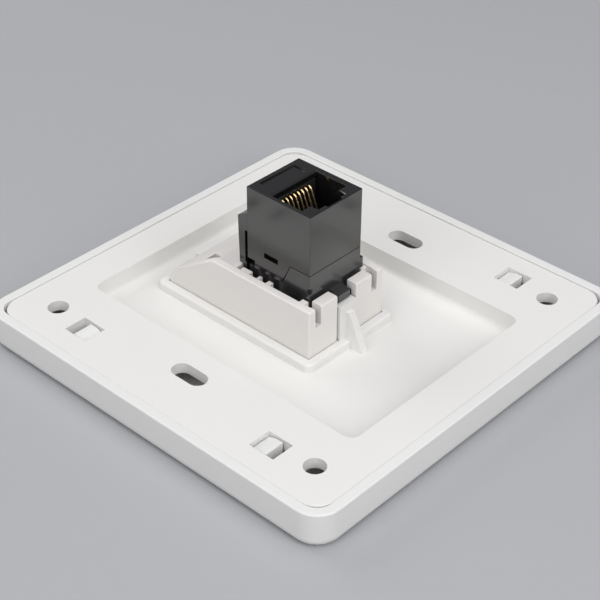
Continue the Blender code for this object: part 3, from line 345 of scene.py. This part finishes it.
floor_work = bmesh.new()
bmesh.ops.create_grid(floor_work, x_segments=FLOOR_CELLS, y_segments=FLOOR_CELLS, size=FLOOR_REACH)
bmesh.ops.translate(floor_work, verts=floor_work.verts, vec=(0.0, 0.0, -FLOOR_DROP))
floor_mesh = bpy.data.meshes.new("paper_floor")
floor_work.to_mesh(floor_mesh)
floor_work.free()
floor = bpy.data.objects.new("paper_floor", floor_mesh)
floor_mesh.materials.append(paper.material)
bpy.context.scene.collection.objects.link(floor)
print("floor lies", FLOOR_DROP / MM, "mm below the plate")

# %% [markdown]
# ## Mouldings
#
# A moulded piece has no sharp edge, because the mould is cut with a round tool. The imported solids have
# the right forms but sharp edges, so each moulding starts from a copy of its solid. Doubled points are
# merged, the triangles of a flat face become one face again, and a narrow Bevel then rounds every edge
# that turns by more than a corner angle. Edges that turn by less are parts of a curve or, on the jack,
# flat chamfers. Subdivision would round the forms as well, so it isn't used. A wide flat face beside a
# narrow round would look bent, so each corner's normal is weighted by the area of its faces.

# %% Seal a piece's mesh
SMOOTH_ANGLE = math.radians(40.0)
FLAT_ANGLE = math.radians(1.0)
MERGE = 0.0002 * MM
AREA_WEIGHT = 100


def bake(piece):
    """Applies an object's modifiers, so that a plain mesh is left."""
    bpy.context.view_layer.update()
    graph = bpy.context.evaluated_depsgraph_get()
    mesh = bpy.data.meshes.new_from_object(piece.evaluated_get(graph))
    piece.modifiers.clear()
    piece.data = mesh
    mesh.name = piece.name
    return piece


def settle(piece, finish, slot, body, *nodes):
    """Gives a finished mesh its material and shading, ties it to its body, and hides the nodes it stands
    for.
    """
    piece.data.materials.clear()
    piece.data.materials.append(finish.material)
    piece.data.shade_smooth()
    piece.data.set_sharp_from_angle(angle=SMOOTH_ANGLE)
    level = piece.modifiers.new("flat_faces_stay_flat", 'WEIGHTED_NORMAL')
    level.mode = 'FACE_AREA'
    level.weight = AREA_WEIGHT
    level.keep_sharp = True
    bake(piece)
    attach(piece, body)
    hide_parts(*nodes)
    print(piece.name, "has", len(piece.data.polygons), "faces")


# %% Round the edges of a copied solid
CORNER_ANGLE = 38.0
ROUND_SEGMENTS = 2


def moulding(name, node, finish, slot, edge, body="plate", reshape=None, corner=CORNER_ANGLE):
    """Makes a copy of a solid with rounded edges, where they turn by more than the corner angle.

    The reshape function may first move some of its points.
    """
    work = bmesh.new()
    work.from_mesh(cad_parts[node].data)
    bmesh.ops.remove_doubles(work, verts=work.verts, dist=MERGE)
    bmesh.ops.dissolve_limit(work, angle_limit=FLAT_ANGLE, verts=work.verts, edges=work.edges)
    if reshape:
        reshape(work)
    mesh = bpy.data.meshes.new(name)
    work.to_mesh(mesh)
    work.free()
    piece = bpy.data.objects.new(name, mesh)
    bpy.context.scene.collection.objects.link(piece)
    bevel = piece.modifiers.new("rounded_edges", 'BEVEL')
    bevel.limit_method = 'ANGLE'
    bevel.angle_limit = math.radians(corner)
    bevel.width = edge
    bevel.segments = ROUND_SEGMENTS
    settle(bake(piece), finish, slot, body, node)


# %% [markdown]
# ## The white mouldings
#
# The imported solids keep 0.3 mm between pieces that touch in the real plate. In a close picture such a gap
# looks wide, so the visible copy of the base plate reaches a little further out and up into the cover,
# with tighter corners, and its opening closes in on the carrier. Its flange is a little thicker below, so
# that the holes look deep enough. Only points on those faces move, each by less than the gap, apart from
# the corners.

# %% Where the base plate is moved, and how far
PACKED_CORNER = 6.5 * MM
SEEN_CORNER = 4.0 * MM
EDGE_BAND = 0.7 * MM
PLATE_REACH = 0.24 * MM
PLATE_RISE = 0.2 * MM
RIM_STEP = 0.4 * MM
FLANGE_THICK = 1.8 * MM
FLANGE_DROP = 0.25 * MM
SEAT_GAP = 0.3 * MM
SEAT_REACH = 0.15 * MM
NEAR_FACE = 0.02 * MM

base_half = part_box("base_plate")[1][0]
base_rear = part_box("cover_frame")[1][2] - RIM_STEP
flange_under = base_rear - FLANGE_THICK
carrier_low, carrier_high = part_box("module_carrier")
seat_faces = [
    ((carrier_low[axis] - SEAT_GAP, SEAT_REACH), (carrier_high[axis] + SEAT_GAP, -SEAT_REACH))
    for axis in (0, 1)]
print("base plate's rear face is at", round(base_rear / MM, 2), "mm")


# %% Reshape the base plate
def fill_corner(point):
    """Moves a point of the base plate's outline from its packed corner arc onto a tighter one."""
    centre = base_half - PACKED_CORNER
    reach = Vector((abs(point.co.x) - centre, abs(point.co.y) - centre))
    if min(reach) > -NEAR_FACE and reach.length > PACKED_CORNER - EDGE_BAND:
        tight = reach.normalized() * (SEEN_CORNER - (PACKED_CORNER - reach.length))
        for axis in (0, 1):
            moved = base_half - SEEN_CORNER + tight[axis]
            point.co[axis] = math.copysign(moved, point.co[axis])


def close_plate_gaps(work):
    """Fills the corners, thickens the flange, grows the edge and draws the carrier opening in."""
    corner_start = base_half - SEEN_CORNER
    for point in work.verts:
        fill_corner(point)
        if base_rear - EDGE_BAND < point.co.z < base_rear + NEAR_FACE:
            point.co.z += PLATE_RISE
        elif abs(point.co.z - flange_under) < NEAR_FACE:
            point.co.z -= FLANGE_DROP
        for axis in (0, 1):
            if abs(point.co[axis]) > corner_start - NEAR_FACE:
                point.co[axis] += math.copysign(PLATE_REACH, point.co[axis])
            for face, step in seat_faces[axis]:
                if abs(point.co[axis] - face) < NEAR_FACE:
                    point.co[axis] += step


# %% Cover, base plate, carrier and shutter
COVER_EDGE = 0.15 * MM
BASE_EDGE = 0.18 * MM
CARRIER_EDGE = 0.07 * MM
SHUTTER_EDGE = 0.12 * MM

moulding("front_cover", "cover_frame", cover_white, "white_plastic", COVER_EDGE)
moulding(
    "rear_base_plate", "base_plate", plate_white, "white_plastic", BASE_EDGE, reshape=close_plate_gaps)
moulding("module_carrier_insert", "module_carrier", carrier_white, "white_plastic", CARRIER_EDGE)
moulding("sliding_shutter", "dust_shutter", carrier_white, "white_plastic", SHUTTER_EDGE, body="shutter")

# %% [markdown]
# ## The jack
#
# Two black housings clip together along a seam that steps down at the skirt. Their edges are crisper than
# the white ones, and their chamfers stay flat. The seam is level, then slants, and is level again, so its
# visible gap is closed by moving the front housing's upper edge along each of these three runs. Inside, a
# matt comb keeps the contacts apart in each socket, and a small board joins the two sets.

# %% Where the housing seam runs
SEAM_REACH = 0.2 * MM
SEAM_TOP = 20.0 * MM
SKIRT_FOOT = 15.44 * MM
SKIRT_HEAD = 15.7 * MM
SKIRT_END = 1.0 * MM
SLANT_FOOT = 15.8 * MM
SLANT_PLACE = 1.05 * MM
SLANT_HEIGHT = 15.9 * MM
SLANT_LEAN = 0.49
SLANT_BAND = 0.3 * MM
SLANT_SHARE = 0.85


def close_housing_seam(work):
    """Draws the front housing's upper edge up to the rear housing: level, slanting and level again."""
    for point in work.verts:
        run, _, height = point.co
        slant = SLANT_PLACE + SLANT_LEAN * (height - SLANT_HEIGHT)
        if height > SEAM_TOP - NEAR_FACE:
            point.co.z += SEAM_REACH
        elif SKIRT_FOOT - NEAR_FACE < height < SKIRT_HEAD and run < SKIRT_END:
            point.co.z += SEAM_REACH
        if height > SLANT_FOOT and abs(run - slant) < SLANT_BAND:
            point.co.x -= SLANT_SHARE * SEAM_REACH


# %% Housings, combs and board
JACK_EDGE = 0.05 * MM
CHAMFER_KEPT = 50.0
COMB_EDGE = 0.03 * MM
COMB_FRONT = -2.95 * MM
COMB_REACH = 0.45 * MM
BOARD_EDGE = 0.05 * MM


def lengthen_comb(work):
    """Moves the comb's front edge out over the wires, up to where they bend down."""
    for point in work.verts:
        if abs(point.co.x - COMB_FRONT) < NEAR_FACE:
            point.co.x += COMB_REACH


moulding(
    "rear_socket_housing", "jack_rear_housing", jack_black, "black_plastic", JACK_EDGE,
    corner=CHAMFER_KEPT)
# The front housing gets the black plastic painted lighter, as painted light on its mirrored face.
moulding(
    "front_socket_housing", "jack_front_housing", jack_black_painted_lighter, "black_plastic", JACK_EDGE,
    reshape=close_housing_seam, corner=CHAMFER_KEPT)
moulding(
    "rear_contact_comb", "rear_contact_insert", comb_black, "dark_insert", COMB_EDGE,
    reshape=lengthen_comb)
moulding(
    "front_contact_comb", "front_contact_insert", comb_black, "dark_insert", COMB_EDGE,
    reshape=lengthen_comb)
moulding("socket_joining_board", "coupler_board", board_mask, "circuit_board", BOARD_EDGE)

# %% [markdown]
# ## Geometry Nodes
#
# What repeats, or follows a rule, is made by a node tree: the row of contacts, and the spring's coil. The
# class below builds such a tree. Each size is a named input, which is set on the modifier by the socket's
# identifier before the object is first evaluated. The tree ends in Realize Instances, a smooth shade and
# the material, because an export drops instances.


# %% A Geometry Nodes tree with named inputs
class Recipe(Tree):
    """A node tree that turns a small start mesh into a piece."""

    def __init__(self, name):
        super().__init__(bpy.data.node_groups.new(name, 'GeometryNodeTree'))
        self.identifiers = {}
        self.values = {}
        interface = self.tree.interface
        interface.new_socket("Geometry", in_out='INPUT', socket_type='NodeSocketGeometry')
        interface.new_socket("Geometry", in_out='OUTPUT', socket_type='NodeSocketGeometry')
        self.entry = self.tree.nodes.new("NodeGroupInput")
        self.start = Socket(self.tree, self.entry.outputs["Geometry"])

    def size(self, label, value, kind='NodeSocketFloat'):
        """Adds a named input and gives its socket."""
        item = self.tree.interface.new_socket(label, in_out='INPUT', socket_type=kind)
        self.identifiers[label] = item.identifier
        self.values[label] = value
        return Socket(self.tree, self.entry.outputs[label])

    def close(self, geometry, finish):
        """Ends the tree: real geometry, smooth, with its material."""
        real = self.node("GeometryNodeRealizeInstances", Geometry=geometry)
        smooth = self.node("GeometryNodeSetShadeSmooth", Geometry=real)
        done = self.node("GeometryNodeSetMaterial", Geometry=smooth, Material=finish.material)
        self.tree.links.new(done.output, self.tree.nodes.new("NodeGroupOutput").inputs["Geometry"])

    def grow(self, name, points, edges):
        """Runs the tree on a start mesh of points and edges."""
        mesh = bpy.data.meshes.new(name)
        mesh.from_pydata(points, edges, [])
        piece = bpy.data.objects.new(name, mesh)
        bpy.context.scene.collection.objects.link(piece)
        modifier = piece.modifiers.new(name, 'NODES')
        modifier.node_group = self.tree
        for label, value in self.values.items():
            modifier[self.identifiers[label]] = value
        return bake(piece)


# %% [markdown]
# ## Contacts
#
# Each socket has eight wires side by side. A wire rises from the board behind the comb, runs level under
# the comb's roof, bends at the port's edge and slants down into the port, where a plug presses on it. One
# wire is a line through four points whose corners are filleted, with a circle swept along it. The tree
# then places it at each pitch. Places and pitch come from the boxes of the first and the last wire.

# %% The row of contacts
CONTACT_COUNT = 8
WIRE_RADIUS = 0.22 * MM
BEND_RADIUS = 0.75 * MM
BEND_POINTS = 9
WIRE_SIDES = 20

contacts = Recipe("contact_row")
wire_radius = contacts.size("Wire Radius", WIRE_RADIUS)
bend_radius = contacts.size("Bend Radius", BEND_RADIUS)
contact_count = contacts.size("Contact Count", CONTACT_COUNT, 'NodeSocketInt')
first_place = contacts.size("First Place", (0.0, 0.0, 0.0), 'NodeSocketVector')
step_to_next = contacts.size("Step To Next", (0.0, 1.0 * MM, 0.0), 'NodeSocketVector')

path = contacts.node("GeometryNodeMeshToCurve", Mesh=contacts.start)
bent = contacts.node(
    "GeometryNodeFilletCurve", {"mode": 'POLY'}, Curve=path, Radius=bend_radius, Count=BEND_POINTS,
    Limit_Radius=True)
ring = contacts.node(
    "GeometryNodeCurvePrimitiveCircle", {"mode": 'RADIUS'}, Resolution=WIRE_SIDES, Radius=wire_radius)
wire = contacts.node("GeometryNodeCurveToMesh", Curve=bent, Profile_Curve=ring, Fill_Caps=True)
places = contacts.node(
    "GeometryNodeMeshLine", {"mode": 'OFFSET'}, Count=contact_count, Start_Location=first_place,
    Offset=step_to_next)
row = contacts.node("GeometryNodeInstanceOnPoints", Points=places, Instance=wire)
contacts.close(row, gold)
print("contact tree has", len(contacts.tree.nodes), "nodes")

# %% Rear and front contacts
TIP_DROP = 6.4 * MM
SLANT = math.radians(67.0)


def contact_row(name, node_start, rises):
    """Makes the eight wires of one socket. A row that rises has its foot below its level run."""
    nodes = [node_start + str(number) for number in range(1, CONTACT_COUNT + 1)]
    first_low, first_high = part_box(nodes[0])
    pitch = (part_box(nodes[-1])[0][1] - first_low[1]) / (CONTACT_COUNT - 1)
    back = first_low[0] + WIRE_RADIUS
    tip_x = first_high[0] - WIRE_RADIUS * math.sin(SLANT)
    turn_x = tip_x - TIP_DROP / math.tan(SLANT)
    if rises:
        foot_z = first_low[2]
        level_z = first_high[2] - WIRE_RADIUS
        tip_z = level_z - TIP_DROP
    else:
        foot_z = first_high[2]
        level_z = first_low[2] + WIRE_RADIUS
        tip_z = level_z + TIP_DROP
    points = [(back, 0.0, foot_z), (back, 0.0, level_z), (turn_x, 0.0, level_z), (tip_x, 0.0, tip_z)]
    contacts.values["First Place"] = (0.0, first_low[1] + WIRE_RADIUS, 0.0)
    contacts.values["Step To Next"] = (0.0, pitch, 0.0)
    piece = contacts.grow(name, points, [(0, 1), (1, 2), (2, 3)])
    settle(piece, gold, "gold_contact", "plate", *nodes)


contact_row("rear_contact_wires", "rear_contact_", rises=True)
contact_row("front_contact_wires", "front_contact_", rises=False)

# %% [markdown]
# ## Shutter spring
#
# The spring lies along the carrier, and pushes the dust shutter shut. Its end turns are wound close, so
# that they sit flat, and the turns between are open. A Screw modifier would give every turn the same
# pitch, so a tree winds it: it starts from a straight line, samples it finely, and moves each point round
# the axis by its share of all turns, and along the axis by a smooth step that starts and ends at the
# pitch of touching turns. The coil shortens as the shutter opens.

# %% The coil
SPRING_WIRE = 0.14 * MM
SPRING_TURNS = 7.0
SPRING_POINTS = 253
SPRING_SIDES = 10

spring_low, spring_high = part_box("shutter_spring")
spring_start = spring_low[0] + SPRING_WIRE
spring_length = spring_high[0] - SPRING_WIRE - spring_start
spring_y = (spring_low[1] + spring_high[1]) / 2
spring_z = (spring_low[2] + spring_high[2]) / 2

spring = Recipe("closed_end_coil")
turns = spring.size("Turns", SPRING_TURNS)
length = spring.size("Length", spring_length)
coil_radius = spring.size("Coil Radius", (spring_high[2] - spring_low[2]) / 2 - SPRING_WIRE)
coil_wire = spring.size("Wire Radius", SPRING_WIRE)
start_x = spring.size("Start", spring_start)
axis_y = spring.size("Axis Y", spring_y)
axis_z = spring.size("Axis Z", spring_z)

straight = spring.node("GeometryNodeMeshToCurve", Mesh=spring.start)
fine_line = spring.node("GeometryNodeResampleCurve", Curve=straight, Count=SPRING_POINTS)
share = spring.node("GeometryNodeSplineParameter", output="Factor")
angle = share * turns * math.tau
closed_run = coil_wire * 2.0 * turns
smooth_step = share * share * (3.0 - share * 2.0)
along = share * closed_run + smooth_step * (length - closed_run)
place = spring.node(
    "ShaderNodeCombineXYZ", X=start_x + along, Y=axis_y + coil_radius * angle.math('COSINE'),
    Z=axis_z + coil_radius * angle.math('SINE'))
coil = spring.node("GeometryNodeSetPosition", Geometry=fine_line, Position=place)
coil_ring = spring.node(
    "GeometryNodeCurvePrimitiveCircle", {"mode": 'RADIUS'}, Resolution=SPRING_SIDES, Radius=coil_wire)
wound = spring.node("GeometryNodeCurveToMesh", Curve=coil, Profile_Curve=coil_ring, Fill_Caps=True)
spring.close(wound, steel)

spring_ends = [(spring_start, spring_y, spring_z), (spring_start + spring_length, spring_y, spring_z)]
shutter_spring = spring.grow("shutter_return_spring", spring_ends, [(0, 1)])
settle(shutter_spring, steel, "spring_steel", "plate", "shutter_spring")

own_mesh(shutter_spring)
